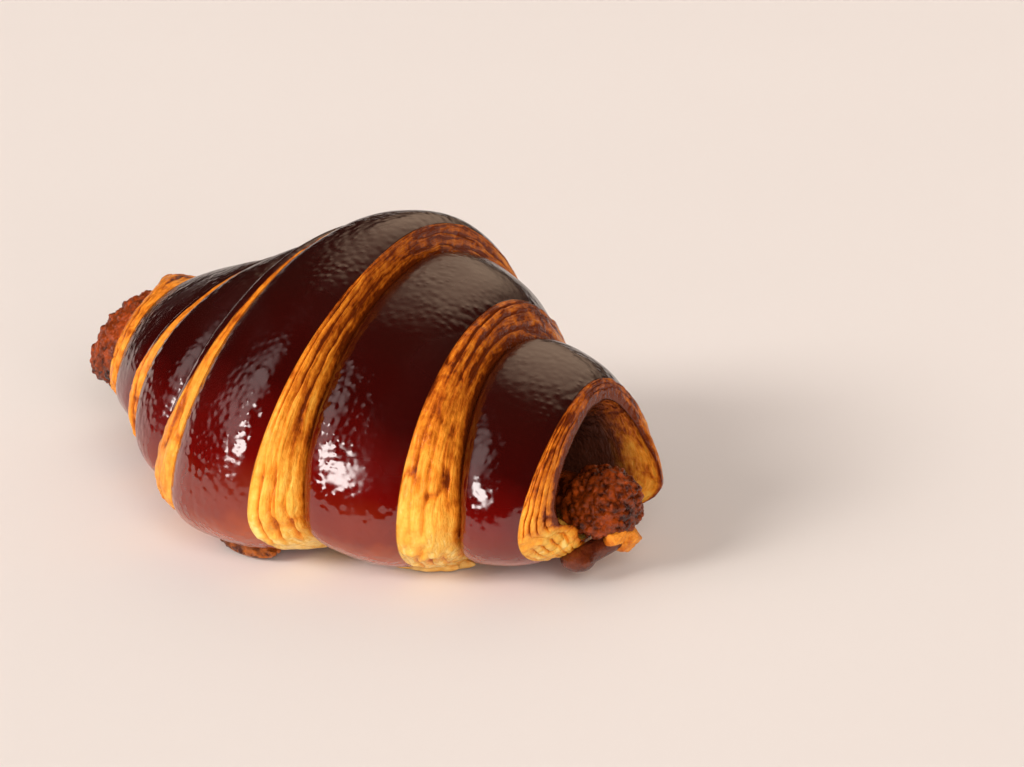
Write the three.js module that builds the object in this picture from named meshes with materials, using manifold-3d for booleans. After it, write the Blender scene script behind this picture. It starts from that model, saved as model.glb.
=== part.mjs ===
// Filled two-tone croissant: one rolled sheet of laminated dough round a crumbly biscuit-cream core.
// Millimetres, +X along the roll, +Z up, the underside resting on Z = 0.
import * as THREE from "three";
import Module from "manifold-3d";

const wasm = await Module();
wasm.setup();

// Cross-section of the roll: a dome over a flatter belly, leaning a little to the back
const RISE_SHARE = 0.866;
const DEPTH_SHARE = 0.4;
const DOME_POWER = 1.85;
const BELLY_POWER = 2.35;
const LEAN = 0.13;

// The far side is shorter, and its edges slant and step less, so that the turns don't crowd there
const FAR_SHARE = 0.86;
const FAR_STEP_SHARE = 0.5;
const SLANT_EASE = 0.3;
const SLANT_EASE_WIDTH = 15;

// Exposed edges of the rolled sheet from the left tip to the right tip, each a laminated step.
// x and half give the rim of the dark skin, run and drop the step down to the next turn, at the near side and at the top.
const EDGES = {
  leftTip: { x: -52.5, half: 18.4, axis: 17.3, depth: 9.8, skew: 0.04, run: [6, 5], drop: [3.6, 2.8], side: -1, layers: 2 },
  leftOuter: { x: -24.5, half: 31, axis: 17.2, depth: 15.5, skew: 0.25, run: [9.6, 2.2], drop: [6.2, 1.4], side: -1, layers: 3 },
  leftInner: { x: -7.2, half: 45.8, axis: 13.5, depth: 14.4, skew: -0.02, run: [12.5, 6], drop: [8.6, 5.3], side: -1, layers: 3 },
  rightInner: { x: 10.9, half: 47.5, axis: 15.4, depth: 15.8, skew: -0.12, run: [7.8, 1.2], drop: [8, 7.4], side: 1, layers: 4 },
  rightOuter: { x: 30.9, half: 34.5, axis: 16, depth: 16.6, skew: -0.28, run: [10.1, 5.4], drop: [9, 8.8], side: 1, layers: 4 },
  rightTip: { x: 55.2, half: 23, axis: 16, depth: 11, skew: -0.22, run: [4.7, 2], drop: [5.4, 3], side: 1, layers: 3 },
};
const LAYER_RELIEF = 0.3;
const SKIN_LIP = 0.5;
const STEP_ROUNDING = 0.55;
const CREASE_LIFT = 1;
const EDGE_WANDER = 0.5;
const WANDER_WAVES = 3;

// Swelling of the dark turns between the edges
const TURNS = {
  leftOuter: { bulge: 1.2, columns: 4 },
  leftInner: { bulge: 1.8, columns: 6 },
  centre: { bulge: 3, columns: 8 },
  rightInner: { bulge: 1.8, columns: 6 },
  rightOuter: { bulge: 1.6, columns: 5 },
};

// Flaky flaps where the two rims stand out on the far side: how far along the roll, how far up, and where
const FLAPS = {
  leftTip: { reach: -8, lift: 1, angle: 1.1, spread: 0.6 },
  rightTip: { reach: 5.5, lift: 0, angle: -0.25, spread: 0.6 },
};

// Channel through the roll and the core that fills it
const CORE_GAP = 0.5;
const CORE_HALF = 8.7;
const CORE_RISE = 7.4;
const CORE_DEPTH = 4.6;
const LEFT_MOUTH = { inset: 9, columns: 4 };
const RIGHT_MOUTH = { inset: 20, columns: 5, lipDepth: 9 };
const CHANNEL_COLUMNS = 6;
const NECK_SHARE = 0.5;

// Core ends: a blunt plug pushed out of the left tip and a crumbly lump lying in the right mouth
const PLUG_REACH = 12.8;
const PLUG_HALF = 13.9;
const PLUG_RISE = 12.7;
const PLUG_DEPTH = 8;
const PLUG_SAG = 1.8;
const PLUG_BLUNTNESS = 0.28;
const PLUG_COLUMNS = 8;
const LUMP = { x: 60.8, axis: 13.8, half: 7.4, rise: 7.6, depth: 4.9, reach: 7, columns: 12 };
const CRUMB_RELIEF = 0.75;

// Two biscuit bits and a melted drop that hang out of the right mouth, the drop on a strand of filling
const CHUNK = { x: 64.4, y: 4, z: 8.4, size: 2.8, stretch: [1, 1.1, 0.95] };
const BIT = { x: 65.6, y: -0.6, z: 10, size: 2.3, stretch: [1, 0.9, 0.8] };
const DROP = { x: 60.4, y: -4.6, z: 5.2, size: 3.3, stretch: [1, 1, 0.72] };
const DRIP_RADIUS = 2.1;
const DRIP_STEPS = 5;

// Tail of the sheet tucked under the front of the centre turn
const TAIL = { x: 6.2, y: -35.6, z: 2.4, size: 7.2, stretch: [1, 0.45, 0.32] };

// Ragged flake spread out under the near side of the right outer edge
const FLAKE = { x: 36.1, y: -17.1, z: 1.3, size: 7, stretch: [1, 0.5, 0.18], turn: 44 };

// Rows round a section
const DOME_ROWS = 32;
const BELLY_ROWS = 22;
const CORE_ROWS = 30;

const DOUGH_COLOUR = 0x54160f;
const FILLING_COLOUR = 0x7a3a1c;

function lerp(a, b, t) {
  return a + (b - a) * t;
}

function signedPower(value, power) {
  return Math.sign(value) * Math.abs(value) ** power;
}

// A station is one ring of the roll
function station(values) {
  return {
    x: 0, half: 0, rise: 0, depth: 0, axis: 0, skew: 0, floor: 0, wander: 0, crumb: 0,
    sideX: 0, sideHalf: 0, flapReach: 0, flapLift: 0, flapAngle: 0, flapSpread: 1, ...values,
  };
}

function blend(from, to, t) {
  const mixed = {};
  for (const key of Object.keys(from)) {
    mixed[key] = lerp(from[key], to[key], t);
  }
  return mixed;
}

function swell(ring, amount) {
  ring.half += amount;
  ring.rise += amount * RISE_SHARE;
  ring.depth += amount * DEPTH_SHARE;
  return ring;
}

function crumbAt(angle, x) {
  const coarse = Math.sin(5 * angle + 0.9 * x) * Math.sin(3 * angle - 1.1 * x + 2);
  const fine = Math.sin(9 * angle - 1.7 * x) * Math.sin(4 * angle + 2.3 * x + 1);
  return 0.65 * coarse + 0.35 * fine;
}

// The angle runs from the far side over the dome to the near side and back along the belly
function sectionPoint(ring, angle) {
  const overDome = Math.sin(angle) >= 0;
  const power = 2 / (overDome ? DOME_POWER : BELLY_POWER);
  const near = Math.cos(angle) < 0;
  const side = (1 - Math.max(Math.sin(angle), 0)) * (near ? 1 : FAR_STEP_SHARE);
  const flapTurn = Math.atan2(Math.sin(angle - ring.flapAngle), Math.cos(angle - ring.flapAngle)) / ring.flapSpread;
  const flap = Math.exp(-flapTurn * flapTurn);
  const crumb = ring.crumb * crumbAt(angle, ring.x);
  const grown = ring.sideHalf * side + ring.flapLift * flap + crumb * Math.min(1, ring.half / 4);
  const y = (ring.half + grown) * signedPower(Math.cos(angle), power) * (near ? 1 : FAR_SHARE);
  const reach = overDome ? ring.rise + RISE_SHARE * grown : -(ring.depth + DEPTH_SHARE * grown);
  const z = Math.max(ring.axis + Math.abs(Math.sin(angle)) ** power * reach, ring.floor);
  const slant = ring.skew * y * (1 - SLANT_EASE * (1 + Math.tanh(y / SLANT_EASE_WIDTH)));
  const wander = ring.wander * Math.sin(WANDER_WAVES * angle + 0.13 * ring.x);
  return [ring.x + ring.sideX * side + slant + ring.flapReach * flap + wander, y + LEAN * z, z];
}

function flapOf(edge) {
  return Object.entries(FLAPS).find(([name]) => EDGES[name] === edge)?.[1];
}

function skinRing(edge) {
  const flap = flapOf(edge);
  return station({
    x: edge.x,
    half: edge.half,
    rise: RISE_SHARE * edge.half,
    depth: edge.depth,
    axis: edge.axis,
    skew: edge.skew,
    wander: EDGE_WANDER,
    ...(flap && { flapAngle: flap.angle, flapSpread: flap.spread }),
  });
}

function creaseRing(edge) {
  const [sideRun, topRun] = edge.run;
  const [sideDrop, topDrop] = edge.drop;
  const ring = swell(skinRing(edge), -topDrop);
  ring.x += edge.side * topRun;
  ring.sideX = edge.side * (sideRun - topRun);
  ring.sideHalf = topDrop - sideDrop;
  ring.floor = CREASE_LIFT;
  const flap = flapOf(edge);
  if (flap) {
    ring.flapReach = flap.reach;
    ring.flapLift = flap.lift;
  }
  if (edge === EDGES.rightTip) {
    ring.depth = RIGHT_MOUTH.lipDepth;
  }
  return ring;
}

// Laminated step from the skin rim to the crease, with one ridge for each layer that shows
function stepRings(edge) {
  const skin = skinRing(edge);
  const crease = creaseRing(edge);
  const columns = 2 * edge.layers;
  const rings = [skin];
  for (let i = 1; i < columns; i += 1) {
    const t = i / columns;
    const ring = blend(skin, crease, t);
    const rounding = STEP_ROUNDING * edge.drop[0] * 2 * t * (1 - t);
    const ridge = i % 2 === 0 ? LAYER_RELIEF : -LAYER_RELIEF;
    rings.push(swell(ring, rounding + ridge - SKIN_LIP * (1 - t)));
  }
  rings.push(crease);
  return edge.side > 0 ? rings : rings.reverse();
}

// Dark turn between two edges, without its two end rings
function turnRings(from, to, turn) {
  const rings = [];
  for (let i = 1; i < turn.columns; i += 1) {
    const t = i / turn.columns;
    const ring = blend(from, to, t);
    rings.push(swell(ring, turn.bulge * (1 - Math.abs(2 * t - 1) ** 3)));
  }
  return rings;
}

// Ring of the channel behind a rim
function channelRing(rim, x) {
  return station({
    x,
    axis: rim.axis,
    half: CORE_HALF + CORE_GAP,
    rise: CORE_RISE + CORE_GAP,
    depth: CORE_DEPTH + CORE_GAP,
    flapAngle: rim.flapAngle,
    flapSpread: rim.flapSpread,
  });
}

// Mouth of the channel: curls from the rim into the roll
function mouthRings(rim, inner, columns) {
  const rings = [];
  for (let i = 1; i < columns; i += 1) {
    const t = i / columns;
    const ring = blend(rim, inner, t);
    const inward = 1 - (1 - t) ** 2;
    ring.half = lerp(rim.half, inner.half, inward);
    ring.rise = lerp(rim.rise, inner.rise, inward);
    ring.depth = lerp(rim.depth, inner.depth, inward);
    ring.flapReach = rim.flapReach * (1 - t) ** 3;
    ring.flapLift = rim.flapLift * (1 - t) ** 3;
    ring.wander = 0;
    rings.push(ring);
  }
  return rings;
}

const leftRim = creaseRing(EDGES.leftTip);
const rightRim = creaseRing(EDGES.rightTip);
const leftInner = channelRing(leftRim, leftRim.x + LEFT_MOUTH.inset);
const rightInner = channelRing(rightRim, rightRim.x - RIGHT_MOUTH.inset);
const leftMouth = mouthRings(leftRim, leftInner, LEFT_MOUTH.columns);
const rightMouth = mouthRings(rightRim, rightInner, RIGHT_MOUTH.columns);

// Rings of the dough in one closed loop: over the outside from left to right, back through the channel
function doughRings() {
  const { leftTip, leftOuter, leftInner: inner, rightInner: inside, rightOuter, rightTip } = EDGES;
  const rings = [
    ...stepRings(leftTip),
    ...turnRings(skinRing(leftTip), creaseRing(leftOuter), TURNS.leftOuter),
    ...stepRings(leftOuter),
    ...turnRings(skinRing(leftOuter), creaseRing(inner), TURNS.leftInner),
    ...stepRings(inner),
    ...turnRings(skinRing(inner), skinRing(inside), TURNS.centre),
    ...stepRings(inside),
    ...turnRings(creaseRing(inside), skinRing(rightOuter), TURNS.rightInner),
    ...stepRings(rightOuter),
    ...turnRings(creaseRing(rightOuter), skinRing(rightTip), TURNS.rightOuter),
    ...stepRings(rightTip),
    ...rightMouth,
  ];
  for (let i = 0; i <= CHANNEL_COLUMNS; i += 1) {
    rings.push(blend(rightInner, leftInner, i / CHANNEL_COLUMNS));
  }
  rings.push(...[...leftMouth].reverse());
  return rings;
}

function shrink(ring, gap) {
  return { ...ring, half: ring.half - gap, rise: ring.rise - gap, depth: ring.depth - gap, wander: 0 };
}

// Rings of the blunt plug from its pole to the left rim, grown by a margin
function plugRings(margin) {
  const rings = [];
  for (let i = 0; i < PLUG_COLUMNS; i += 1) {
    const t = i / PLUG_COLUMNS;
    const round = Math.sin((t * Math.PI) / 2) ** PLUG_BLUNTNESS;
    const tuck = Math.cos((t * Math.PI) / 2);
    rings.push(station({
      x: leftRim.x - (PLUG_REACH + margin) * tuck,
      half: (PLUG_HALF + margin) * round,
      rise: (PLUG_RISE + margin) * round,
      depth: (PLUG_DEPTH + margin) * round,
      axis: leftRim.axis - PLUG_SAG * (1 - t),
      skew: leftRim.skew * t,
      sideX: leftRim.sideX * t,
      crumb: CRUMB_RELIEF * Math.min(1, 3 * t) * Math.min(1, 4 * (1 - t)),
    }));
  }
  return rings;
}

// Room for the plug, closed by a cone that stays inside the mouth
function plugRoom() {
  return ringSolid([...plugRings(CORE_GAP), leftMouth[0], leftInner], coreTurns, false);
}

// Rings of the core from the left pole to the right pole
function coreRings() {
  const rings = plugRings(0);
  rings.push(...leftMouth.map((ring) => shrink(ring, CORE_GAP)));
  rings.push(shrink(leftInner, CORE_GAP));
  rings.push(shrink(blend(leftInner, rightInner, 0.5), CORE_GAP));
  rings.push(shrink(rightInner, CORE_GAP));
  const neckX = lerp(rightInner.x, LUMP.x - LUMP.reach, 0.4);
  rings.push(station({
    x: neckX,
    half: CORE_HALF * NECK_SHARE,
    rise: CORE_RISE * NECK_SHARE,
    depth: CORE_DEPTH * NECK_SHARE,
    axis: LUMP.axis,
  }));
  for (let i = 0; i <= LUMP.columns; i += 1) {
    const t = lerp(0.16, 1, i / LUMP.columns);
    const round = Math.sin(t * Math.PI) ** 0.7;
    rings.push(station({
      x: LUMP.x - LUMP.reach * Math.cos(t * Math.PI),
      half: LUMP.half * round,
      rise: LUMP.rise * round,
      depth: LUMP.depth * round,
      axis: LUMP.axis,
      crumb: CRUMB_RELIEF * Math.min(1, 3 * (1 - t)),
    }));
  }
  return rings;
}

function angles(domeRows, bellyRows) {
  const list = [];
  for (let i = 0; i < domeRows; i += 1) {
    list.push((Math.PI * i) / domeRows);
  }
  for (let i = 0; i < bellyRows; i += 1) {
    list.push(Math.PI + (Math.PI * i) / bellyRows);
  }
  return list;
}

function signedVolume(points, triangles) {
  let volume = 0;
  for (let i = 0; i < triangles.length; i += 3) {
    const [a, b, c] = [0, 1, 2].map((k) => new THREE.Vector3(...points[triangles[i + k]]));
    volume += a.dot(b.cross(c)) / 6;
  }
  return volume;
}

// Closed solid from rings; a loop joins its last ring to the first, otherwise both end rings shrink to poles
function ringSolid(rings, turns, loop) {
  const points = [];
  const triangles = [];
  const rowCount = turns.length;
  const body = loop ? rings : rings.slice(1, -1);
  for (const ring of body) {
    for (const angle of turns) {
      points.push(sectionPoint(ring, angle));
    }
  }
  const index = (column, row) => (column % body.length) * rowCount + (row % rowCount);
  const spans = loop ? body.length : body.length - 1;
  for (let column = 0; column < spans; column += 1) {
    for (let row = 0; row < rowCount; row += 1) {
      const corner = index(column, row);
      const next = index(column + 1, row);
      const above = index(column, row + 1);
      const across = index(column + 1, row + 1);
      triangles.push(corner, next, across, corner, across, above);
    }
  }
  if (!loop) {
    const first = points.push(sectionPoint({ ...rings[0], half: 0, rise: 0, depth: 0 }, 0)) - 1;
    const last = points.push(sectionPoint({ ...rings.at(-1), half: 0, rise: 0, depth: 0 }, 0)) - 1;
    for (let row = 0; row < rowCount; row += 1) {
      triangles.push(first, index(0, row), index(0, row + 1));
      triangles.push(last, index(body.length - 1, row + 1), index(body.length - 1, row));
    }
  }
  if (signedVolume(points, triangles) < 0) {
    triangles.reverse();
  }
  return solid(points.flat(), triangles);
}

function solid(positions, triangles) {
  return new wasm.Manifold(new wasm.Mesh({
    numProp: 3,
    vertProperties: new Float32Array(positions),
    triVerts: new Uint32Array(triangles),
  }));
}

function blob({ x, y, z, size, stretch = [1, 1, 1], turn = 0 }, segments, margin = 0) {
  const radii = stretch.map((share) => share * size + margin);
  return wasm.Manifold.sphere(1, segments).scale(radii).rotate([0, 0, turn]).translate([x, y, z]);
}

// Strand of melted filling from the biscuit chunk under the lip to the drop, grown by a margin
function drip(margin = 0) {
  const start = { x: CHUNK.x - 0.5, y: CHUNK.y - 1.5, z: CHUNK.z };
  let strand = blob(DROP, 24, margin);
  for (let i = 0; i <= DRIP_STEPS; i += 1) {
    const t = i / DRIP_STEPS;
    const place = {
      x: lerp(start.x, DROP.x + 0.8, t),
      y: lerp(start.y, DROP.y + 1, t),
      z: lerp(start.z, DROP.z + 0.6, t),
      size: DRIP_RADIUS,
    };
    strand = strand.add(blob(place, 12, margin));
  }
  return strand;
}

const doughTurns = angles(DOME_ROWS, BELLY_ROWS);
const coreTurns = angles(CORE_ROWS / 2, CORE_ROWS / 2);
const dough = ringSolid(doughRings(), doughTurns, true)
  .add(blob(TAIL, 20))
  .add(blob(FLAKE, 20))
  .subtract(plugRoom())
  .subtract(drip(CORE_GAP))
  .subtract(blob(CHUNK, 10, CORE_GAP))
  .subtract(blob(BIT, 10, CORE_GAP));
const filling = ringSolid(coreRings(), coreTurns, false)
  .add(blob(CHUNK, 10))
  .add(blob(BIT, 10))
  .add(drip());

function named(name, shape, colour, shift) {
  const mesh = shape.translate(shift).getMesh();
  const geometry = new THREE.BufferGeometry();
  geometry.setAttribute("position", new THREE.BufferAttribute(new Float32Array(mesh.vertProperties), 3));
  geometry.setIndex(new THREE.BufferAttribute(new Uint32Array(mesh.triVerts), 1));
  geometry.computeVertexNormals();
  const item = new THREE.Mesh(geometry, new THREE.MeshStandardMaterial({ color: colour, roughness: 0.4 }));
  item.name = name;
  return item;
}

// The origin is the middle of the bounding box on the resting plane
const boxes = [dough.boundingBox(), filling.boundingBox()];
const low = [0, 1, 2].map((k) => Math.min(...boxes.map((box) => box.min[k])));
const high = [0, 1, 2].map((k) => Math.max(...boxes.map((box) => box.max[k])));
const shift = [-(low[0] + high[0]) / 2, -(low[1] + high[1]) / 2, -low[2]];

const croissant = new THREE.Group();
croissant.name = "filled_croissant";
croissant.add(named("croissant_dough", dough, DOUGH_COLOUR, shift));
croissant.add(named("biscuit_filling", filling, FILLING_COLOUR, shift));

export default croissant;
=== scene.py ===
import math

import bpy
import numpy as np
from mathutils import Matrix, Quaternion, Vector


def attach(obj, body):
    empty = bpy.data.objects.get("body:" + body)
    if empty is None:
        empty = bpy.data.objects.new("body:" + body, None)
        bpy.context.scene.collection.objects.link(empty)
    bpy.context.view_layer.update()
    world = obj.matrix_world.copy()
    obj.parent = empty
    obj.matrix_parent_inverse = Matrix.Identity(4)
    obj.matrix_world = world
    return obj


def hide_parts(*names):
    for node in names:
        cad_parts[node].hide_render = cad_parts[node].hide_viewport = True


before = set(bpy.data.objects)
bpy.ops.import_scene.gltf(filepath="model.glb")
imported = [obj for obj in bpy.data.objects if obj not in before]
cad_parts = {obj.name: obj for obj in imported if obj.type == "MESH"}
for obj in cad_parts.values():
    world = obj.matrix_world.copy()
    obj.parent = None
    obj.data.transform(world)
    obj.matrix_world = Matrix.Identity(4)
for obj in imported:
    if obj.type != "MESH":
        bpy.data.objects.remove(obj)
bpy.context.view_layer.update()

# Rolled dough: a triangle of laminated dough, a dark sheet laid over many buttery ones, rolled
# from its wide end so that every turn is a dark band and its cut side a step of golden layers.
# It is baked flat on a tray round a sausage of filling, then brushed with clear syrup.
MM = 0.001
ROLL_SHIFT = np.array([1.2, 1.462, 0.0])

# Cross-section: rise and depth that go with the half width, how square dome and belly are, the lean to the
# back, and how much shorter the far side and its steps are than the near ones.
RISE_SHARE = 0.866
DEPTH_SHARE = 0.4
DOME_POWER = 1.85
BELLY_POWER = 2.35
CROWN_SOFTNESS = 0.02
LEAN = 0.13
FAR_SHARE = 0.86
FAR_STEP_SHARE = 0.5
NEAR_SHARPNESS = 4

# Run of the edges round the roll: their slant, their soft foot on the tray and a slight wander. At each
# step the skin laps over a rounded cut side, and at the mouth's lower lip the layers fan out.
SLANT_EASE = 0.3
SLANT_EASE_WIDTH = 15
FLOOR_SOFTNESS = 0.3
CREASE_LIFT = 1.0
EDGE_WANDER = 0.5
WANDER_WAVES = 3
WANDER_SHIFT = 0.13
SKIN_LIP = 0.55
STEP_ROUNDING = 0.55
LIP_FAN = 6.0
LIP_FAN_ANGLE = 1.2 * math.pi
LIP_FAN_SPREAD = 0.5

# Edges of the dark turns from the left tip to the right one, in millimetres: place, half width, height of
# the widest line, depth below it, slant, then how far the step runs and drops at the side and on top,
# the way it faces, its layers, and how much of its top the dark skin leaves bare.
LEFT_TIP = dict(x=-52.5, half=18.4, axis=17.3, depth=9.8, skew=0.04, run=(6, 5), drop=(3.6, 2.8),
                side=-1, layers=2, bare=1,
                flap=dict(flap_reach=-8, flap_lift=1, flap_angle=1.1, flap_spread=0.6))
LEFT_OUTER = dict(x=-24.5, half=31, axis=17.2, depth=15.5, skew=0.25, run=(9.6, 2.2), drop=(6.2, 1.4),
                  side=-1, layers=3, bare=0.2)
LEFT_INNER = dict(x=-7.2, half=45.8, axis=13.5, depth=14.4, skew=-0.02, run=(12.5, 6), drop=(8.6, 5.3),
                  side=-1, layers=3, bare=0.12)
RIGHT_INNER = dict(x=10.9, half=47.5, axis=15.4, depth=15.8, skew=-0.12, run=(7.8, 1.2), drop=(8, 7.4),
                   side=1, layers=4, bare=1)
RIGHT_OUTER = dict(x=30.9, half=34.5, axis=16, depth=16.6, skew=-0.28, run=(10.1, 5.4), drop=(9, 8.8),
                   side=1, layers=4, bare=1)
RIGHT_TIP = dict(x=55.2, half=23, axis=16, depth=11, skew=-0.22, run=(4.7, 2), drop=(5.4, 3),
                 side=1, layers=5, bare=1, lip=dict(depth=9.0, fan=LIP_FAN),
                 flap=dict(flap_reach=5.5, flap_lift=0, flap_angle=-0.25, flap_spread=0.6))
EDGES = (LEFT_TIP, LEFT_OUTER, LEFT_INNER, RIGHT_INNER, RIGHT_OUTER, RIGHT_TIP)

# Between the edges every turn bulges, and a turn that rises out of a crease has a shoulder and a narrow gap
# at its foot. The mouths of both tips lead into the channel that holds the core of filling.
TURN_BULGES = (1.2, 1.8, 3.0, 1.8, 1.6)
SHOULDER_LIFT = 1.6
SHOULDER_SHARE = 0.2
STEP_GAP_SHARE = 0.07
TURN_GAP_SHARE = 0.035
MOUTH_LAYERS = 6
CHANNEL_LAYERS = 2
CORE_GAP = 0.5
CORE_HALF = 8.7
CORE_RISE = 7.4
CORE_DEPTH = 4.6
LEFT_INSET = 9
RIGHT_INSET = 20
EDGE_SHARES = (0.0, 0.012, 0.03)
FIRST_LAYER_SHARE = 0.055
STEP_COLUMNS = {-1: 22, 1: 42}
TURN_COLUMNS = 24
LEFT_MOUTH_COLUMNS = 8
RIGHT_MOUTH_COLUMNS = 28
CHANNEL_COLUMNS = 6
QUARTER_ROWS = (75, 130, 40, 18)
FIELDS = ("x", "half", "rise", "depth", "axis", "skew", "floor", "wander", "crumb", "side_x", "side_half",
          "flap_reach", "flap_lift", "flap_angle", "flap_spread", "laminated", "across", "layers", "inside",
          "bare", "gap", "fan")


def ring(**values):
    """One cross-section of the roll as a row of its measures, with those not named at nothing."""
    values.setdefault("flap_spread", 1.0)
    return np.array([float(values.get(name, 0.0)) for name in FIELDS])


def field(rings, name):
    return rings[..., FIELDS.index(name)]


def set_field(one, **values):
    for name, value in values.items():
        one[FIELDS.index(name)] = value


def swell(one, amount):
    """Make a ring larger all round by so many millimetres."""
    for name, share in (("half", 1.0), ("rise", RISE_SHARE), ("depth", DEPTH_SHARE)):
        one[FIELDS.index(name)] += amount * share
    return one


def blend(start, end, share):
    return start + (end - start) * share


def skin_ring(edge):
    """Ring along the outer edge of a step, where the dark skin ends."""
    flap = edge.get("flap", {})
    return ring(x=edge["x"], half=edge["half"], rise=RISE_SHARE * edge["half"], depth=edge["depth"],
                axis=edge["axis"], skew=edge["skew"], wander=EDGE_WANDER,
                flap_angle=flap.get("flap_angle", 0.0), flap_spread=flap.get("flap_spread", 1.0))


def crease_ring(edge):
    """Ring along the inner edge of a step, where the next turn or a mouth begins."""
    side_run, top_run = edge["run"]
    side_drop, top_drop = edge["drop"]
    crease = swell(skin_ring(edge), -top_drop)
    set_field(crease, x=edge["x"] + edge["side"] * top_run, side_x=edge["side"] * (side_run - top_run),
              side_half=top_drop - side_drop, floor=CREASE_LIFT,
              **edge.get("flap", {}), **edge.get("lip", {}))
    return crease


def step_rings(edge):
    """Rings of one cut side of the sheet, between the lip of its dark skin and the crease."""
    skin, crease = skin_ring(edge), crease_ring(edge)
    layer_shares = np.linspace(FIRST_LAYER_SHARE, 1.0, STEP_COLUMNS[edge["side"]])
    rings = []
    for share in np.concatenate([EDGE_SHARES, layer_shares]):
        one = blend(skin, crease, share)
        rounding = STEP_ROUNDING * edge["drop"][0] * 2 * share * (1 - share)
        lip = SKIN_LIP * (1 - share) * min(1.0, share / EDGE_SHARES[-1])
        gap = math.exp(-((1 - share) / STEP_GAP_SHARE) ** 2) if edge["side"] > 0 else 0.0
        set_field(one, across=share, layers=edge["layers"], laminated=share > 0, bare=edge["bare"], gap=gap)
        rings.append(swell(one, rounding - lip))
    return rings if edge["side"] > 0 else rings[::-1]


def turn_rings(start, end, bulge):
    """Rings of one dark turn, with a rounded shoulder where it comes up out of a crease."""
    rings = []
    for share in 0.5 - 0.5 * np.cos(np.linspace(0.0, math.pi, TURN_COLUMNS + 1)[1:-1]):
        one = blend(start, end, share)
        shoulder = 0.0
        if field(start, "floor") > 0:
            set_field(one, gap=math.exp(-(share / TURN_GAP_SHARE) ** 2))
            rising = 1 - max(0.0, 1 - share / SHOULDER_SHARE) ** 2
            falling = 1 - max(0.0, (share - SHOULDER_SHARE) / (1 - SHOULDER_SHARE)) ** 2
            shoulder = SHOULDER_LIFT * math.sqrt(rising) * falling
        rings.append(swell(one, bulge * (1 - abs(2 * share - 1) ** 3) + shoulder))
    return rings


def channel_ring(rim, x):
    """Ring of the channel round the filling, deep inside a tip."""
    return ring(x=x, axis=field(rim, "axis"), half=CORE_HALF + CORE_GAP, rise=CORE_RISE + CORE_GAP,
                depth=CORE_DEPTH + CORE_GAP, laminated=1, inside=1, across=1, layers=CHANNEL_LAYERS,
                flap_angle=field(rim, "flap_angle"), flap_spread=field(rim, "flap_spread"))


def mouth_rings(rim, inner, columns):
    """Rings of a mouth that curls in from the rim of a tip to the channel."""
    rings = []
    for share in np.linspace(0.0, 1.0, columns + 1)[1:-1]:
        one = blend(rim, inner, share)
        inward = 1 - (1 - share) ** 2
        curled = {name: blend(field(rim, name), field(inner, name), inward)
                  for name in ("half", "rise", "depth")}
        flap = {name: field(rim, name) * (1 - share) ** 3 for name in ("flap_reach", "flap_lift")}
        set_field(one, wander=0.0, laminated=1.0, inside=share, across=share, layers=MOUTH_LAYERS,
                  **curled, **flap)
        rings.append(one)
    return rings


def soft_power(value, power):
    """Power of a sine or cosine that runs straight through zero, so that the crown has no crease."""
    half = (power - 1) / 2
    return value * (value * value + CROWN_SOFTNESS) ** half / (1 + CROWN_SOFTNESS) ** half


def roll_points(rings, angles, relief):
    """Points of the rings in millimetres, with one row for each angle from the far side over the dome."""
    rings = rings[:, None, :]
    cosine, sine = np.cos(angles)[None, :], np.sin(angles)[None, :]
    dome, near = sine >= 0, 0.5 - 0.5 * np.tanh(NEAR_SHARPNESS * cosine)
    belly = 2 / BELLY_POWER
    side = (1 - np.maximum(sine, 0.0)) * blend(FAR_STEP_SHARE, 1.0, near)
    turn = np.angle(np.exp(1j * (angles[None, :] - field(rings, "flap_angle")))) / field(rings, "flap_spread")
    flap = np.exp(-turn * turn)
    grown = field(rings, "side_half") * side + field(rings, "flap_lift") * flap + relief
    wide = np.where(dome, soft_power(cosine, 2 / DOME_POWER), np.sign(cosine) * np.abs(cosine) ** belly)
    high = np.where(dome, (field(rings, "rise") + RISE_SHARE * grown) * soft_power(sine, 2 / DOME_POWER),
                    -(field(rings, "depth") + DEPTH_SHARE * grown) * np.abs(sine) ** belly)
    y = (field(rings, "half") + grown) * wide * np.where(cosine < 0, 1.0, FAR_SHARE)
    above = (field(rings, "axis") + high - field(rings, "floor")) / FLOOR_SOFTNESS
    z = field(rings, "floor") + FLOOR_SOFTNESS * np.logaddexp(0.0, above)
    slant = field(rings, "skew") * y * (1 - SLANT_EASE * (1 + np.tanh(y / SLANT_EASE_WIDTH)))
    wander = field(rings, "wander") * np.sin(WANDER_WAVES * angles + WANDER_SHIFT * field(rings, "x"))
    x = field(rings, "x") + field(rings, "side_x") * side + slant + field(rings, "flap_reach") * flap + wander
    return np.stack([x, y + LEAN * z, z], axis=-1)


def round_angles(quarter_rows):
    """Angles from the far side over the dome and back under the belly, with so many in each quarter."""
    return np.concatenate([np.linspace(k * math.pi / 2, (k + 1) * math.pi / 2, rows, endpoint=False)
                           for k, rows in enumerate(quarter_rows)])


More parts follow.
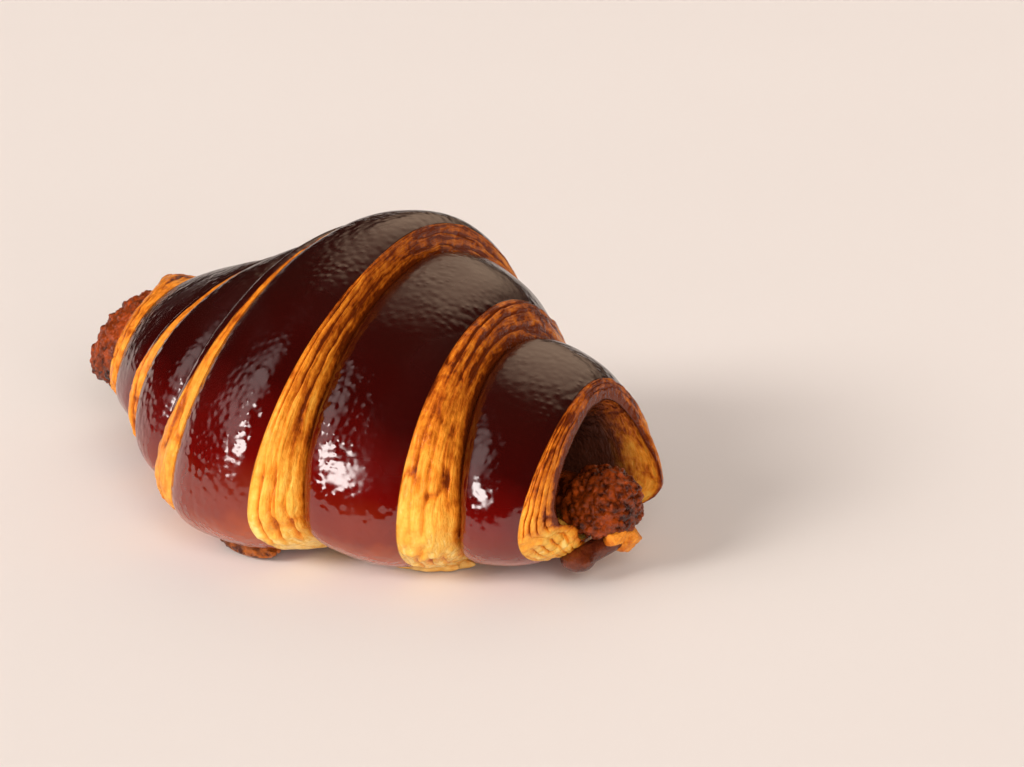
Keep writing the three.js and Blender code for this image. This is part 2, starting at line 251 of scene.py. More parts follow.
left_rim, right_rim = crease_ring(LEFT_TIP), crease_ring(RIGHT_TIP)
left_inner = channel_ring(left_rim, field(left_rim, "x") + LEFT_INSET)
right_inner = channel_ring(right_rim, field(right_rim, "x") - RIGHT_INSET)
left_mouth = mouth_rings(left_rim, left_inner, LEFT_MOUTH_COLUMNS)
right_mouth = mouth_rings(right_rim, right_inner, RIGHT_MOUTH_COLUMNS)
channel = [blend(right_inner, left_inner, share) for share in np.linspace(0, 1, CHANNEL_COLUMNS)]
all_rings = step_rings(LEFT_TIP)
for edge, after, bulge in zip(EDGES, EDGES[1:], TURN_BULGES):
    turn_start = skin_ring(edge) if edge["side"] < 0 else crease_ring(edge)
    turn_end = crease_ring(after) if after["side"] < 0 else skin_ring(after)
    all_rings += turn_rings(turn_start, turn_end, bulge) + step_rings(after)
dough_rings = np.array(all_rings + right_mouth + channel + left_mouth[::-1])
dough_angles = round_angles(QUARTER_ROWS)

# On the steps the layers meander, part in cracks and split into fibres, and they fan out at the lower lip
# of the mouth. The dark skin has only gentle dents. Heights and depths are in millimetres.
PROFILE_ROW = sum(QUARTER_ROWS[:2]) * 4 // 5
STREAK_RADIUS = 38
RIM_SHARE = 0.05
LAYER_LIFT = 0.3
CRACK_WIDTH = 0.12
CRACK_DEPTH = 0.85
CRACKED_SHARE = 0.65
CRACKED_TIP_SHARE = 0.3
HAIR_WIDTH = 0.09
HAIR_DEPTH = 0.5
FIBRE_HEIGHT = 0.25
MOTTLE_HEIGHT = 0.15
FRAY_HEIGHT = 0.5
FAN_SPLAY = 1.2
DENT_HEIGHT = 0.2
RIPPLE_HEIGHT = 0.04
GAP_DEPTH = 1.1


def grain(points, size, seed):
    """Smooth random relief from -1 to 1 with lumps of about the given size."""
    cells = 32
    lattice = np.random.default_rng(seed).uniform(-1.0, 1.0, (cells, cells, cells))
    place = np.asarray(points) / size
    corner = np.floor(place).astype(int)
    share = place - corner
    share = share * share * share * (share * (share * 6 - 15) + 10)
    total = 0.0
    for dx in (0, 1):
        for dy in (0, 1):
            for dz in (0, 1):
                weight = ((share[..., 0] if dx else 1 - share[..., 0])
                          * (share[..., 1] if dy else 1 - share[..., 1])
                          * (share[..., 2] if dz else 1 - share[..., 2]))
                index = (corner + (dx, dy, dz)) % cells
                total = total + weight * lattice[index[..., 0], index[..., 1], index[..., 2]]
    return total


def dough_field(name):
    return field(dough_rings, name)[:, None]


plain = roll_points(dough_rings, dough_angles, 0.0)
spans = np.linalg.norm(np.diff(plain[:, PROFILE_ROW], axis=0), axis=-1)
profile = np.append(0.0, np.cumsum(spans))
lowness = np.maximum(-np.sin(dough_angles), 0.0)[None, :]
aside = 1 - np.maximum(np.sin(dough_angles), 0.0)[None, :]
across, inside, layers = dough_field("across"), dough_field("inside"), dough_field("layers")
bare = blend(dough_field("bare"), 1.0, aside ** 2)
bared = np.clip((bare - across) / RIM_SHARE + 0.5, 0, 1)
laminated = dough_field("laminated") * np.where(inside > 0, 1.0, bared)


def streak(cross, along, seed):
    """Random relief drawn out along the layers, with the given widths across and along them."""
    round_place = np.stack([np.cos(dough_angles), np.sin(dough_angles)], axis=-1) * STREAK_RADIUS / along
    place = [np.broadcast_to(round_place[None, :, k], laminated.shape) for k in (0, 1)]
    place.append(np.broadcast_to(profile[:, None] / cross, laminated.shape))
    return grain(np.stack(place, axis=-1), 1.0, seed)


meander = (0.12 * streak(9, 24, seed=3) + 0.05 * streak(5, 8, seed=4)) * np.minimum(1.0, 5 * across)
layer_place = layers * (across + meander)
split = np.abs(layer_place - np.clip(np.round(layer_place), 1, np.maximum(layers - 1, 1)))
fan = dough_field("fan") * np.exp(-((dough_angles - LIP_FAN_ANGLE) / LIP_FAN_SPREAD) ** 2)[None, :]
cracked = np.where((dough_field("fan") > 0) & (inside == 0), CRACKED_TIP_SHARE, CRACKED_SHARE)
parted = np.clip(cracked + 0.9 * streak(30, 12, seed=5) + 0.15 * fan, 0.0, 1.0)
crack = np.exp(-(split / CRACK_WIDTH) ** 2) * parted
hairy = np.clip(0.4 + 1.2 * streak(6, 9, seed=7), 0.0, 1.0)
hair = np.exp(-(streak(2.2, 15, seed=6) / HAIR_WIDTH) ** 2) * hairy
# Mask of painted shade for the cracks and hair lines between the layers.
groove = np.clip(crack + 0.6 * hair, 0.0, 1.0)
fibres = streak(0.9, 6, seed=8)
mottle = grain(plain, 2.2, seed=9) + 0.7 * grain(plain, 1.1, seed=10)
frayed = np.minimum(3 * lowness, 1.0) * streak(1.5, 3, seed=19)
step_relief = (LAYER_LIFT - CRACK_DEPTH * crack - HAIR_DEPTH * hair + FIBRE_HEIGHT * fibres
               + MOTTLE_HEIGHT * mottle + FRAY_HEIGHT * frayed)
skin_relief = DENT_HEIGHT * grain(plain, 11.0, seed=17) + RIPPLE_HEIGHT * grain(plain, 4.0, seed=18)
rim_fade = (np.clip(np.minimum(across, 1.04 - across) / RIM_SHARE, 0.0, 1.0)
            * np.clip(1.6 - 2 * inside, 0.0, 1.0))
relief = blend(skin_relief * (1 - inside), step_relief * rim_fade, laminated) - GAP_DEPTH * dough_field("gap")
dough_points = roll_points(dough_rings, dough_angles, relief - fan) + ROLL_SHIFT
dough_points[..., 0] += FAN_SPLAY * fan / LIP_FAN * step_relief * rim_fade


def grid_mesh(name, points, closed):
    """Mesh over a grid of points in millimetres; rows run round, columns close on themselves if asked."""
    columns, rows = points.shape[:2]
    spans = columns if closed else columns - 1
    column, row = np.meshgrid(np.arange(spans), np.arange(rows), indexing="ij")
    after, above = (column + 1) % columns, (row + 1) % rows
    corners = [column * rows + row, column * rows + above, after * rows + above, after * rows + row]
    faces = np.stack(corners, axis=-1).reshape(-1, 4).tolist()
    if not closed:
        faces.append(list(range(rows))[::-1])
        faces.append(list(range((columns - 1) * rows, columns * rows)))
    mesh = bpy.data.meshes.new(name)
    mesh.from_pydata((points.reshape(-1, 3) * MM).tolist(), [], faces)
    mesh.update()
    return mesh


def add_piece(name, mesh, material, node):
    mesh.materials.append(material)
    mesh.shade_smooth()
    piece = bpy.data.objects.new(name, mesh)
    bpy.context.collection.objects.link(piece)
    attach(piece, "root")
    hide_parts(node)


def add_tone(mesh, name, values):
    """One number for each corner of a mesh, which its finish reads by name."""
    layer = mesh.attributes.new(name, "FLOAT", "POINT")
    layer.data.foreach_set("value", np.ascontiguousarray(values, dtype=np.float32).ravel())


class Tone:
    """A socket among the nodes of a finish; sums and products of tones add their own Math nodes."""

    def __init__(self, tree, socket=None):
        self.tree = tree
        self.socket = socket

    def node(self, kind, settings=None, sockets=None, output=0):
        made = self.tree.nodes.new(kind)
        for name, value in (settings or {}).items():
            if name == "stops":
                while len(made.color_ramp.elements) < len(value):
                    made.color_ramp.elements.new(1.0)
                for element, (position, colour) in zip(made.color_ramp.elements, value):
                    element.position = position
                    element.color = (*colour, 1.0)
            else:
                setattr(made, name, value)
        for name, value in (sockets or {}).items():
            if isinstance(value, Tone):
                self.tree.links.new(value.socket, made.inputs[name])
            else:
                made.inputs[name].default_value = value
        return Tone(self.tree, made.outputs[output] if made.outputs else None)

    def maths(self, operation, first, second):
        return self.node("ShaderNodeMath", {"operation": operation}, {0: first, 1: second})

    def __add__(self, other):
        return self.maths("ADD", self, other)

    def __sub__(self, other):
        return self.maths("SUBTRACT", self, other)

    def __rsub__(self, other):
        return self.maths("SUBTRACT", other, self)

    def __mul__(self, other):
        return self.maths("MULTIPLY", self, other)

    def __abs__(self):
        return self.maths("ABSOLUTE", self, 0.0)

    __radd__ = __add__
    __rmul__ = __mul__

    def tone(self, name):
        return self.node("ShaderNodeAttribute", {"attribute_name": name}, output="Fac")

    def clouds(self, scale, detail=2.0, vector=None):
        place = vector or self.node("ShaderNodeTexCoord", output="Object")
        return self.node("ShaderNodeTexNoise", sockets={"Vector": place, "Scale": scale, "Detail": detail})

    def between(self, low, high):
        return self.node("ShaderNodeMapRange", {"clamp": True, "interpolation_type": "SMOOTHSTEP"},
                         {"Value": self, "From Min": low, "From Max": high})

    def colour(self, share, first, second):
        return self.node("ShaderNodeMix", {"data_type": "RGBA"}, {0: share, 6: first, 7: second}, output=2)

    def ramp(self, *stops):
        return self.node("ShaderNodeValToRGB", {"stops": stops}, {"Fac": self})


def new_finish(name):
    material = bpy.data.materials.new(name)
    material.use_nodes = True
    material.node_tree.nodes.clear()
    return material, Tone(material.node_tree)


# Golden layers darken from the foot of a step to its top and along their fibres; cracks get painted shade.
# The syrup on the dark skin dries in tiny blisters, a little duller in patches and over the crown.
LAYER_STOPS = ((0.0, (0.92, 0.64, 0.20)), (0.13, (0.85, 0.47, 0.080)), (0.36, (0.83, 0.35, 0.042)),
               (0.58, (0.72, 0.22, 0.016)), (0.82, (0.40, 0.082, 0.005)), (1.0, (0.13, 0.019, 0.002)))
SKIN_STOPS = ((0.0, (0.43, 0.072, 0.010)), (0.14, (0.175, 0.014, 0.003)), (0.34, (0.110, 0.0014, 0.0008)),
              (0.65, (0.028, 0.0009, 0.0006)), (1.0, (0.020, 0.0020, 0.0012)))
# Dark brown painted as shade inside the mouths.
MOUTH_SHADE_COLOUR = (0.040, 0.010, 0.005, 1.0)
FIBRE_STRETCH = (1.0, 0.15, 1.0)
LAYER_BUMP = 0.5 * MM
SKIN_BUMP = 0.4 * MM
SYRUP_IOR = 1.74
dough_finish, start = new_finish("glazed_dough")
layered = start.tone("laminated")
browning = start.tone("browning")
crack_shade_tone = start.tone("groove")
hollow = start.tone("hollow")
roll_map = start.node("ShaderNodeUVMap", {"uv_map": "roll"})
fibre_map = start.node("ShaderNodeMapping", sockets={"Vector": roll_map, "Scale": FIBRE_STRETCH})
threads = start.clouds(170.0, 4.0, fibre_map)
streaks = start.clouds(42.0, 4.0, fibre_map)
stains = start.clouds(260.0, 3.0)
specks = start.clouds(900.0, 3.0)
blotches = start.clouds(70.0, 3.0)
flecks = 1 - start.clouds(85.0, 5.0, fibre_map).between(0.34, 0.46)
# Cracks and crease gaps are darkened here as painted shade.
bake = (browning * 0.78 + 0.05
        + (streaks - 0.5) * 0.6 + (threads - 0.5) * 0.65 + (stains - 0.5) * 0.5 + (specks - 0.5) * 0.4
        + flecks * (0.06 + 0.24 * browning) + crack_shade_tone * 0.55)
# Inside a mouth the layer colour is mixed towards the painted shade.
layer_colour = start.colour(hollow, bake.ramp(*LAYER_STOPS), MOUTH_SHADE_COLOUR)
layer_bump = start.node("ShaderNodeBump", sockets={
    "Strength": 0.9, "Distance": LAYER_BUMP, "Height": threads + specks * 0.6 + stains * 0.4})
layer_shine = start.node("ShaderNodeBsdfPrincipled", sockets={
    "Base Color": layer_colour, "Roughness": 0.26, "Specular IOR Level": 0.25, "Normal": layer_bump})
place = start.node("ShaderNodeTexCoord", output="Object")
blisters = 1 - start.node("ShaderNodeTexVoronoi", {"feature": "SMOOTH_F1"},
                          {"Vector": place, "Scale": 720.0}, output="Distance")
patches = start.clouds(60.0, 2.0).between(0.42, 0.6)
dull = start.clouds(48.0, 2.0).between(0.48, 0.62)
ripples = start.clouds(260.0, 2.0)
skin_bump = start.node("ShaderNodeBump", sockets={
    "Strength": 0.55, "Distance": SKIN_BUMP,
    "Height": blisters * (0.35 + 0.65 * patches) + ripples * 0.25})
skin_colour = (browning + (blotches - 0.5) * 0.3).ramp(*SKIN_STOPS)
skin_roughness = 0.08 + dull * 0.1 + browning.between(0.6, 1.0) * 0.14
skin_shine = start.node("ShaderNodeBsdfPrincipled", sockets={
    "Base Color": skin_colour, "Roughness": skin_roughness, "IOR": SYRUP_IOR, "Normal": skin_bump})
both = start.node("ShaderNodeMixShader", sockets={0: layered, 1: skin_shine, 2: layer_shine})
start.node("ShaderNodeOutputMaterial", sockets={"Surface": both})

# The dome bakes darkest and the left-hand layers stay pale. Shade is painted inside a mouth, all but its
# near lower lip, and into the cracks and crease gaps of the steps. The map unrolls the dough, so that fibres
# follow the layers round it.
BROWN_FROM = 0.12
BROWN_OVER = 0.82
MAP_RADIUS = 35.0
MAP_SCALE = 0.01
dough_mesh = grid_mesh("croissant_dough", dough_points, True)
top = dough_field("axis") + dough_field("rise")
browned = np.clip((dough_points[..., 2] / top - BROWN_FROM) / BROWN_OVER, 0.0, 1.0)
pale_side = laminated * (dough_field("x") < 0)
tip_crust = laminated * (dough_field("x") > RIGHT_TIP["x"]) * (inside == 0)
darkened = browned + 0.09 * tip_crust + 0.08 * (inside > 0) - 0.04 * fan
# Painted shade fills a mouth's inside, except on the rows of its near lower lip, which stay lit.
lit_rows = (lowness > 0) * np.clip(0.5 - 2 * np.cos(dough_angles), 0.0, 1.0)[None, :]
lip_light = np.minimum(0.3 + 4.0 * lowness, 1.0) * lit_rows
add_tone(dough_mesh, "laminated", laminated)
add_tone(dough_mesh, "browning", blend(darkened, 0.42 + 0.3 * browned, pale_side))
# Painted shade in the cracks and hair lines, and in the gap at the foot of each crease.
add_tone(dough_mesh, "groove", groove * laminated + dough_field("gap"))
# Painted shade inside the mouths.
add_tone(dough_mesh, "hollow", np.clip(4.0 * inside - 1.9 * lip_light - 0.1, 0.0, 1.0))
column_of = np.repeat(np.arange(plain.shape[0]), len(dough_angles))
row_of = np.tile(np.arange(len(dough_angles)), plain.shape[0])
column_place = profile[column_of]
after_place = profile[np.minimum(column_of + 1, len(profile) - 1)]
turn_place = np.append(dough_angles, 2 * math.pi) * MAP_RADIUS
row_place, above_place = turn_place[row_of], turn_place[row_of + 1]
corner_maps = [np.stack(pair, axis=-1) for pair in ((column_place, row_place), (column_place, above_place),
                                                    (after_place, above_place), (after_place, row_place))]
roll_layer = dough_mesh.uv_layers.new(name="roll")
roll_layer.data.foreach_set("uv", (np.stack(corner_maps, axis=1) * MAP_SCALE).astype(np.float32).ravel())
add_piece("croissant_dough", dough_mesh, dough_finish, "croissant_dough")

# Filling: a stiff paste of ground spiced biscuit, piped as one core before the dough is rolled.
# It swells out of the left tip as a blunt crumbly plug and lies as a loose lump in the right mouth.
PLUG_REACH = 12.8
PLUG_HALF = 13.9
PLUG_RISE = 12.7
PLUG_DEPTH = 8.0
PLUG_SAG = 1.8
PLUG_BLUNTNESS = 0.28
PLUG_START = 0.02
PLUG_CRUMB_FADE = 5
PLUG_COLUMNS = 110
PLUG_END_COLUMNS = 18
PLUG_END_CRUMBS = 110
NECK_SHARE = 0.5
NECK_PLACE = 0.4
LUMP = dict(x=60.8, axis=13.8, half=7.4, rise=7.6, depth=4.9, reach=7)
LUMP_BLUNTNESS = 0.7
LUMP_START = 0.16
LUMP_END = 0.985
LUMP_CRUMB_FADE = 6
LUMP_COLUMNS = 100
CORE_ROWS = 240
CORE_CRUMBS = 1700
CORE_CRUMB_SIZES = (0.35, 1.05)
CORE_GRAINS = ((2.6, 0.3), (1.1, 0.25), (0.55, 0.14))
CORE_SINK = 0.55


def shrunk(one):
    """Ring of the filling that lies inside a ring of the dough with a little room all round."""
    inner = one.copy()
    smaller = {name: field(one, name) - CORE_GAP for name in ("half", "rise", "depth")}
    set_field(inner, floor=0.0, wander=0.0, **smaller)
    return inner


core_rings = []
end_shares = PLUG_START * np.linspace(0.05, 0.95, PLUG_END_COLUMNS) ** (1 / PLUG_BLUNTNESS)
for share in np.concatenate([end_shares, np.linspace(PLUG_START, 1.0, PLUG_COLUMNS)]):
    bend = share * math.pi / 2
    blunt = math.sin(bend) ** PLUG_BLUNTNESS
    core_rings.append(ring(x=field(left_rim, "x") - PLUG_REACH * math.cos(bend), half=PLUG_HALF * blunt,
                           rise=PLUG_RISE * blunt, depth=PLUG_DEPTH * blunt,
                           axis=LEFT_TIP["axis"] - PLUG_SAG * (1 - share), skew=LEFT_TIP["skew"] * share,
                           side_x=field(left_rim, "side_x") * share,
                           crumb=min(1.0, PLUG_CRUMB_FADE * (1 - share))))
core_rings += [shrunk(one) for one in left_mouth]
core_rings += [shrunk(left_inner), shrunk(blend(left_inner, right_inner, 0.5)), shrunk(right_inner)]
neck_x = blend(field(right_inner, "x"), LUMP["x"] - LUMP["reach"], NECK_PLACE)
core_rings.append(ring(x=neck_x, axis=LUMP["axis"], half=CORE_HALF * NECK_SHARE, rise=CORE_RISE * NECK_SHARE,
                       depth=CORE_DEPTH * NECK_SHARE))
for share in np.linspace(LUMP_START, LUMP_END, LUMP_COLUMNS):
    bend = share * math.pi
    bulge = math.sin(bend) ** LUMP_BLUNTNESS
    core_rings.append(ring(x=LUMP["x"] - LUMP["reach"] * math.cos(bend), half=LUMP["half"] * bulge,
                           rise=LUMP["rise"] * bulge, depth=LUMP["depth"] * bulge, axis=LUMP["axis"],
                           crumb=min(1.0, LUMP_CRUMB_FADE * (share - LUMP_START))))
core_rings = np.array(core_rings)
core_points = roll_points(core_rings, round_angles((CORE_ROWS // 4,) * 4), 0.0) + ROLL_SHIFT


def crumb_relief(points, weight, count, sizes, seed):
    """Height of uneven crumbs pressed into a surface, their middles drawn from its points."""
    rng = np.random.default_rng(seed)
    likely = np.flatnonzero(weight > 0.3)
    height = np.zeros(len(points))
    for middle, size in zip(points[rng.choice(likely, count)], rng.uniform(*sizes, count)):
        turn = np.linalg.qr(rng.normal(size=(3, 3)))[0]
        gap = np.sum(((points - middle) @ turn * rng.uniform(0.8, 1.7, 3)) ** 2, axis=1)
        crumb = size * np.maximum(1 - gap / (size * size), 0.0) ** 0.4 * rng.uniform(0.4, 1.0)
        height = np.maximum(height, crumb)
    return height * weight


def push_out(mesh, heights):
    """Move the corners of a mesh along their normals by so many millimetres."""
    normals = np.empty(len(mesh.vertices) * 3, dtype=np.float32)
    places = np.empty(len(mesh.vertices) * 3, dtype=np.float32)
    mesh.vertices.foreach_get("normal", normals)
    mesh.vertices.foreach_get("co", places)
    moved = places.reshape(-1, 3) + normals.reshape(-1, 3) * (np.asarray(heights)[:, None] * MM)
    mesh.vertices.foreach_set("co", moved.astype(np.float32).ravel())
    mesh.update()


def close_finish(start, sockets):
    shader = start.node("ShaderNodeBsdfPrincipled", sockets=sockets)
    start.node("ShaderNodeOutputMaterial", sockets={"Surface": shader})


def crumbly_finish(name, dark, light, roughness, gloss):
    """Porous finish speckled between two colours, darker where a mesh's tone of browning and painted shade is
    high.
    """
    material, begin = new_finish(name)
    specks = begin.clouds(700.0, 4.0)
    tint = begin.clouds(150.0, 2.0)
    pores = begin.clouds(1900.0, 3.0)
    colour = (specks * 0.6 + tint * 0.4 - 0.05 * begin.tone("baked")).ramp((0.36, dark), (0.64, light))
    bump = begin.node("ShaderNodeBump", sockets={
        "Strength": 0.8, "Distance": 0.25 * MM, "Height": pores + specks})
    close_finish(begin, {"Base Color": colour, "Roughness": roughness + 0.3 * (tint - 0.5),
                         "Specular IOR Level": gloss, "Normal": bump})
    return material


filling_finish = crumbly_finish("biscuit_cream", dark=(0.030, 0.0040, 0.0010), light=(0.38, 0.058, 0.006),
                                roughness=0.28, gloss=0.4)
core_mesh = grid_mesh("biscuit_filling", core_points, False)
core_places = core_points.reshape(-1, 3)
core_weight = np.repeat(field(core_rings, "crumb"), CORE_ROWS)
plug_end = np.repeat(np.arange(len(core_rings)) < PLUG_END_COLUMNS, CORE_ROWS)
core_height = crumb_relief(core_places, core_weight * ~plug_end, CORE_CRUMBS, CORE_CRUMB_SIZES, seed=11)
core_height += crumb_relief(core_places, core_weight * plug_end, PLUG_END_CRUMBS, CORE_CRUMB_SIZES, seed=13)
for size, amount in CORE_GRAINS:
    core_height += core_weight * amount * grain(core_places, size, seed=12)
push_out(core_mesh, core_height - CORE_SINK * core_weight)
# The filling in the right mouth is painted darker, as shade.
add_tone(core_mesh, "baked", core_places[:, 0] > 0)
add_piece("biscuit_filling", core_mesh, filling_finish, "biscuit_filling")

# Biscuit bits: two broken bits of the same biscuit, baked to a bright caramel orange,
# stuck to the underside of the lump where it hangs over the lip of the mouth.
CHUNK = np.array([64.4, 4.0, 8.4])
CHUNK_SIZE = 2.8
CHUNK_STRETCH = np.array([1.0, 1.1, 0.95])
BIT = np.array([65.6, -0.6, 10.0])
BIT_SIZE = 2.3
BIT_STRETCH = np.array([1.0, 0.9, 0.8])
BREAKS = 10
BREAK_REACH = 0.84
BREAK_SHARPNESS = 0.74


def ball_mesh(name, steps, form):
    """Closed ball of quads from a cube, so without poles; form turns its directions into millimetres."""
    bpy.ops.mesh.primitive_cube_add(size=2.0)
    cube = bpy.context.object
    cube.modifiers.new("round", "SUBSURF").levels = steps
    shape = bpy.data.meshes.new_from_object(cube.evaluated_get(bpy.context.evaluated_depsgraph_get()))
    bpy.data.objects.remove(cube)
    places = np.empty(len(shape.vertices) * 3, dtype=np.float32)
    shape.vertices.foreach_get("co", places)
    ways = places.reshape(-1, 3)
    ways /= np.linalg.norm(ways, axis=1, keepdims=True)
    shape.vertices.foreach_set("co", ((form(ways) + ROLL_SHIFT) * MM).astype(np.float32).ravel())
    shape.name = name
    shape.update()
    return shape


def broken(ways, seed):
    """Reach of a bit with flat breaks all round, as a share of its size."""
    breaks = np.random.default_rng(seed).normal(size=(BREAKS, 3))
    breaks /= np.linalg.norm(breaks, axis=1, keepdims=True)
    facing = np.max(np.maximum(ways @ breaks.T, 0.0), axis=1)
    rough = 0.05 * grain(ways * 3, 0.7, seed + 1) + 0.04 * grain(ways * 3, 0.25, seed + 2)
    return (BREAK_REACH / np.maximum(facing, BREAK_SHARPNESS) + rough)[:, None]


chunk_finish = crumbly_finish("caramel_biscuit", dark=(0.55, 0.13, 0.010), light=(0.85, 0.32, 0.035),
                              roughness=0.4, gloss=0.25)
for name, middle, size, stretch, seed in (("biscuit_chunk", CHUNK, CHUNK_SIZE, CHUNK_STRETCH, 21),
                                          ("biscuit_bit", BIT, BIT_SIZE, BIT_STRETCH, 25)):
    bit_mesh = ball_mesh(name, steps=5, form=lambda ways: middle + ways * size * stretch * broken(ways, seed))
    add_piece(name, bit_mesh, chunk_finish, "biscuit_filling")

# Melted drop: filling that ran out under the lip in the oven and set as a glossy bead,
# with the short strand that it ran down still joining it to the biscuit chunk.
DROP = np.array([60.4, -4.6, 5.2])
DROP_SIZE = 3.3
DROP_STRETCH = np.array([1.0, 1.0, 0.72])
DROP_VOXEL = 0.28
DROP_SMOOTHING = 14
DRIP_RADIUS = 2.1
DRIP_STEPS = 9
drip_start = CHUNK + (-0.5, -1.5, 0.0)
drip_end = DROP + (0.8, 1.0, 0.6)
beads = [ball_mesh("bead", steps=4, form=lambda ways: DROP + ways * DROP_SIZE * DROP_STRETCH)]
for share in np.linspace(0.0, 1.0, DRIP_STEPS):
    middle = blend(drip_start, drip_end, share)
    beads.append(ball_mesh("bead", steps=3, form=lambda ways: middle + ways * DRIP_RADIUS))


def fused(name, meshes, voxel, rounds):
    """One closed skin round several meshes that run into each other."""
    parts = []
    for mesh in meshes:
        part = bpy.data.objects.new(name, mesh)
        bpy.context.collection.objects.link(part)
        parts.append(part)
    with bpy.context.temp_override(active_object=parts[0], selected_editable_objects=parts, object=parts[0]):
        bpy.ops.object.join()
    whole = parts[0]
    skin = whole.modifiers.new("skin", "REMESH")
    skin.mode = "VOXEL"
    skin.voxel_size = voxel * MM
    smooth = whole.modifiers.new("smooth", "SMOOTH")
    smooth.iterations = rounds
    made = bpy.data.meshes.new_from_object(whole.evaluated_get(bpy.context.evaluated_depsgraph_get()))
    bpy.data.objects.remove(whole)
    made.name = name
    return made


drop_finish = crumbly_finish("melted_cream", dark=(0.055, 0.008, 0.003), light=(0.16, 0.030, 0.008),
                             roughness=0.16, gloss=0.6)
drop_mesh = fused("melted_drop", beads, DROP_VOXEL, DROP_SMOOTHING)
add_piece("melted_drop", drop_mesh, drop_finish, "biscuit_filling")

# Tail of the sheet: the thin golden point of the dough triangle, tucked under the front of the
# centre turn, with a rough brown crumb baked to its lower side.
TAIL = np.array([6.2, -35.6, 2.4])
TAIL_SIZE = 7.2
TAIL_STRETCH = np.array([1.0, 0.45, 0.32])
TAIL_CRUMBS = 110
TAIL_CRUMB_SIZES = (0.4, 1.1)
TAIL_FOOT = 1.2
TAIL_GOLD = 3.2
tail_form = TAIL_SIZE * TAIL_STRETCH
tail_mesh = ball_mesh("sheet_tail", steps=5, form=lambda ways: TAIL + ways * tail_form)
tail_places = np.array([corner.co for corner in tail_mesh.vertices]) / MM
tail_lumps = crumb_relief(tail_places, np.ones(len(tail_places)), TAIL_CRUMBS, TAIL_CRUMB_SIZES, seed=31)
push_out(tail_mesh, np.where(tail_places[:, 2] < TAIL_FOOT, 0.0, tail_lumps * 0.7 - 0.3))
# Real colour: a golden top edge over a browner crumb.
add_tone(tail_mesh, "baked", np.where(tail_places[:, 2] > TAIL_GOLD, -2.0, 1.5))
tail_finish = crumbly_finish("tail_crust", dark=(0.060, 0.010, 0.003), light=(0.62, 0.17, 0.026),
                             roughness=0.35, gloss=0.3)
add_piece("sheet_tail", tail_mesh, tail_finish, "croissant_dough")

# Loose flake: a ragged scrap of the lowest golden layer, split off the right outer turn
# as it spread on the tray and left lying flat under its step.
FLAKE = np.array([36.1, -17.1, 1.3])
FLAKE_SIZE = 7.0
FLAKE_STRETCH = np.array([1.0, 0.5, 0.18])
FLAKE_TURN = math.radians(44)
FLAKE_RAGGEDNESS = 0.22
FLAKE_CURL = 0.25


def flake_form(ways):
    """Flat scrap with an uneven outline and a wavy top, turned to lie along its step."""
    heading = np.arctan2(ways[:, 1], ways[:, 0])
    outline = np.stack([3 * np.cos(heading), 3 * np.sin(heading), np.zeros_like(heading)], axis=-1)
    ragged = 1 + FLAKE_RAGGEDNESS * grain(outline, 0.8, seed=41)
    flat = ways * FLAKE_SIZE * FLAKE_STRETCH * np.stack([ragged, ragged, np.ones_like(ragged)], axis=-1)
    flat[:, 2] += FLAKE_CURL * grain(flat, 1.6, seed=42) * np.maximum(ways[:, 2], 0.0)
    cosine, sine = math.cos(FLAKE_TURN), math.sin(FLAKE_TURN)
    turned = np.stack([flat[:, 0] * cosine - flat[:, 1] * sine,
                       flat[:, 0] * sine + flat[:, 1] * cosine, flat[:, 2]], axis=-1)
    return FLAKE + turned


flake_finish = crumbly_finish("golden_flake", dark=(0.78, 0.40, 0.08), light=(0.90, 0.60, 0.20),
                              roughness=0.5, gloss=0.2)
flake_mesh = ball_mesh("loose_flake", steps=5, form=flake_form)
add_piece("loose_flake", flake_mesh, flake_finish, "croissant_dough")

# Table top: a wide sheet of smooth matt board in pale cream, laid flat under the croissant,
# with the faintly uneven cast that painted board has.
FLOOR_SIZE = 6.0
reach = FLOOR_SIZE / 2
floor_corners = [(-reach, -reach, 0), (reach, -reach, 0), (reach, reach, 0), (-reach, reach, 0)]
floor_mesh = bpy.data.meshes.new("table_top")
floor_mesh.from_pydata(floor_corners, [], [(0, 1, 2, 3)])
floor_finish, start = new_finish("cream_board")
cast = start.clouds(3.0, 2.0).ramp((0.3, (0.795, 0.753, 0.733)), (0.7, (0.81, 0.768, 0.748)))
close_finish(start, {"Base Color": cast, "Roughness": 0.8, "Specular IOR Level": 0.1})
floor_mesh.materials.append(floor_finish)
table_top = bpy.data.objects.new("table_top", floor_mesh)
bpy.context.collection.objects.link(table_top)

# Studio light: soft lamps from the front, the right and above, which the syrup doesn't mirror, and a
# dark room that it does, with a bright window at the front left, a pale card over it and a dim wall behind.
LAMP_DISTANCE = 2.5
LAMP_AIM = (0.0, 0.0, 0.03)
ROOM_COLOUR = (0.010, 0.008, 0.007, 1.0)
WALL_COLOUR = (1.22, 0.86, 0.60, 1.0)
CARD_COLOUR = (1.2, 0.96, 0.92, 1.0)
WINDOW_COLOUR = (12.0, 11.2, 10.8, 1.0)
WALL_WAY = (-0.324, 0.694, 0.643)
CARD_WAY = (-0.570, -0.584, 0.578)
WINDOW_WAY = (-0.292, -0.956, 0.0)
WINDOW_ASIDE = (0.956, -0.292, 0.0)


def place_towards(item, azimuth, elevation, distance, aim):
    """Set a lamp or camera round the aim, turned from the front by the azimuth, and point it there."""
    turn, lift = math.radians(azimuth), math.radians(elevation)
    way = Vector((math.sin(turn) * math.cos(lift), -math.cos(turn) * math.cos(lift), math.sin(lift)))
    item.location = Vector(aim) + way * distance
    item.rotation_euler = (-way).to_track_quat("-Z", "Y").to_euler()


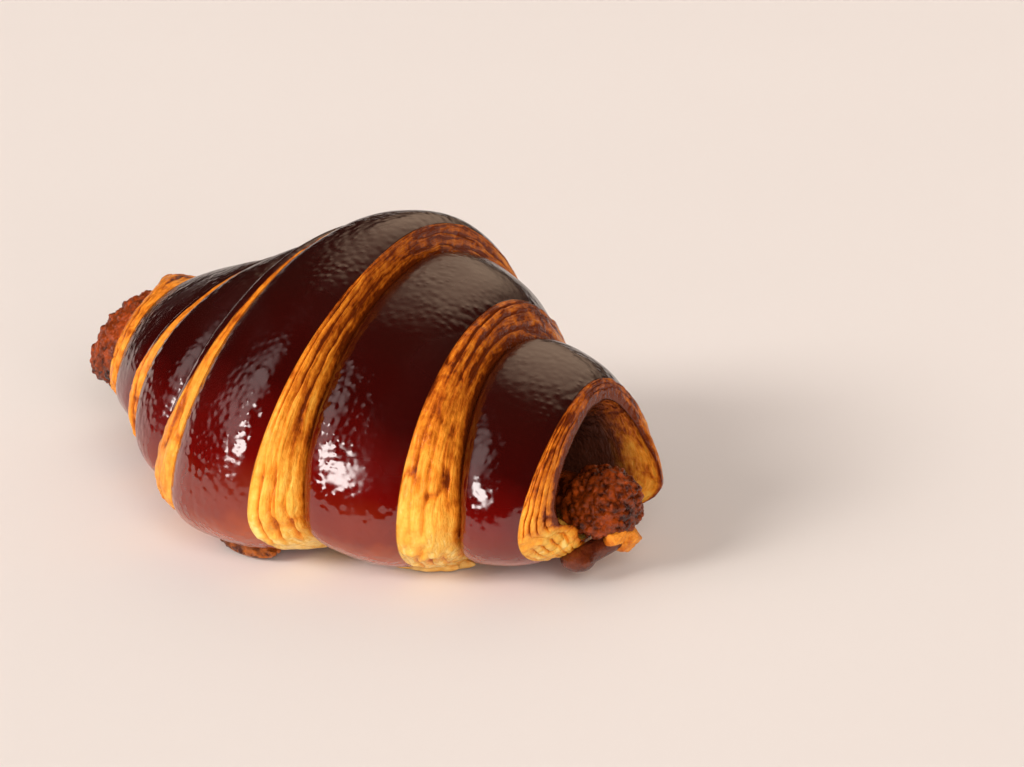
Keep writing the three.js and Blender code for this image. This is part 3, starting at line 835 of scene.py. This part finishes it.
def soft_lamp(name, azimuth, elevation, spread, strength, colour):
    lamp = bpy.data.lights.new(name, "SUN")
    lamp.angle = math.radians(spread)
    lamp.energy = strength
    lamp.color = colour
    item = bpy.data.objects.new(name, lamp)
    bpy.context.collection.objects.link(item)
    place_towards(item, azimuth, elevation, LAMP_DISTANCE, LAMP_AIM)
    item.visible_glossy = False


soft_lamp("key_light", azimuth=-10, elevation=28, spread=20, strength=1.6, colour=(1.0, 0.93, 0.85))
soft_lamp("side_light", azimuth=54, elevation=26, spread=40, strength=2.35, colour=(1.0, 0.95, 0.90))
soft_lamp("dome_light", azimuth=40, elevation=85, spread=160, strength=0.56, colour=(1.0, 0.98, 0.96))
room = bpy.data.worlds.new("room")
bpy.context.scene.world = room
room.use_nodes = True
room.node_tree.nodes.clear()
start = Tone(room.node_tree)
sky = start.node("ShaderNodeTexCoord", output="Generated")
lift = start.node("ShaderNodeSeparateXYZ", sockets={"Vector": sky}, output="Z")


def facing(way):
    return start.node("ShaderNodeVectorMath", {"operation": "DOT_PRODUCT"}, {0: sky, 1: way}, output="Value")


wall = facing(WALL_WAY).between(0.8, 1.0)
card = facing(CARD_WAY).between(0.91, 1.0)
window = ((1 - abs(facing(WINDOW_ASIDE)).between(0.2, 0.34)) * facing(WINDOW_WAY).between(0.3, 0.5)
          * lift.between(0.29, 0.36) * (1 - lift.between(0.45, 0.53)))
shine = start.colour(wall, ROOM_COLOUR, WALL_COLOUR)
shine = start.colour(card, shine, CARD_COLOUR)
shine = start.colour(window, shine, WINDOW_COLOUR)
glow = start.node("ShaderNodeBackground", sockets={"Color": shine, "Strength": 1.0})
start.node("ShaderNodeOutputWorld", sockets={"Surface": glow})

# Camera: a short telephoto lens a little above the table, turned from the front of the roll towards
# its open mouth. It looks a little past the roll, which so lies left of the middle.
PICTURE_WIDTH = 1024
FOCAL_PIXELS = 2600
SENSOR_WIDTH = 36.0
CAMERA_AZIMUTH = 44
CAMERA_ELEVATION = 21
CAMERA_DISTANCE = 0.52
CAMERA_ROLL = math.radians(1.17)
GAZE_RIGHT = 0.0593
GAZE_UP = 0.04366
camera_data = bpy.data.cameras.new("camera")
camera_data.sensor_width = SENSOR_WIDTH
camera_data.lens = SENSOR_WIDTH * FOCAL_PIXELS / PICTURE_WIDTH
camera = bpy.data.objects.new("camera", camera_data)
bpy.context.collection.objects.link(camera)
roll_middle = Vector((ROLL_SHIFT * MM).tolist())
place_towards(camera, CAMERA_AZIMUTH, CAMERA_ELEVATION, CAMERA_DISTANCE, roll_middle)
right = camera.matrix_basis.to_3x3() @ Vector((1, 0, 0))
up = camera.matrix_basis.to_3x3() @ Vector((0, 1, 0))
ahead = (roll_middle - camera.location).normalized()
gaze = ahead + right * GAZE_RIGHT + up * GAZE_UP
camera.rotation_euler = (gaze.to_track_quat("-Z", "Y") @ Quaternion((0, 0, 1), CAMERA_ROLL)).to_euler()
bpy.context.scene.camera = camera
bpy.context.scene.view_settings.view_transform = "Standard"
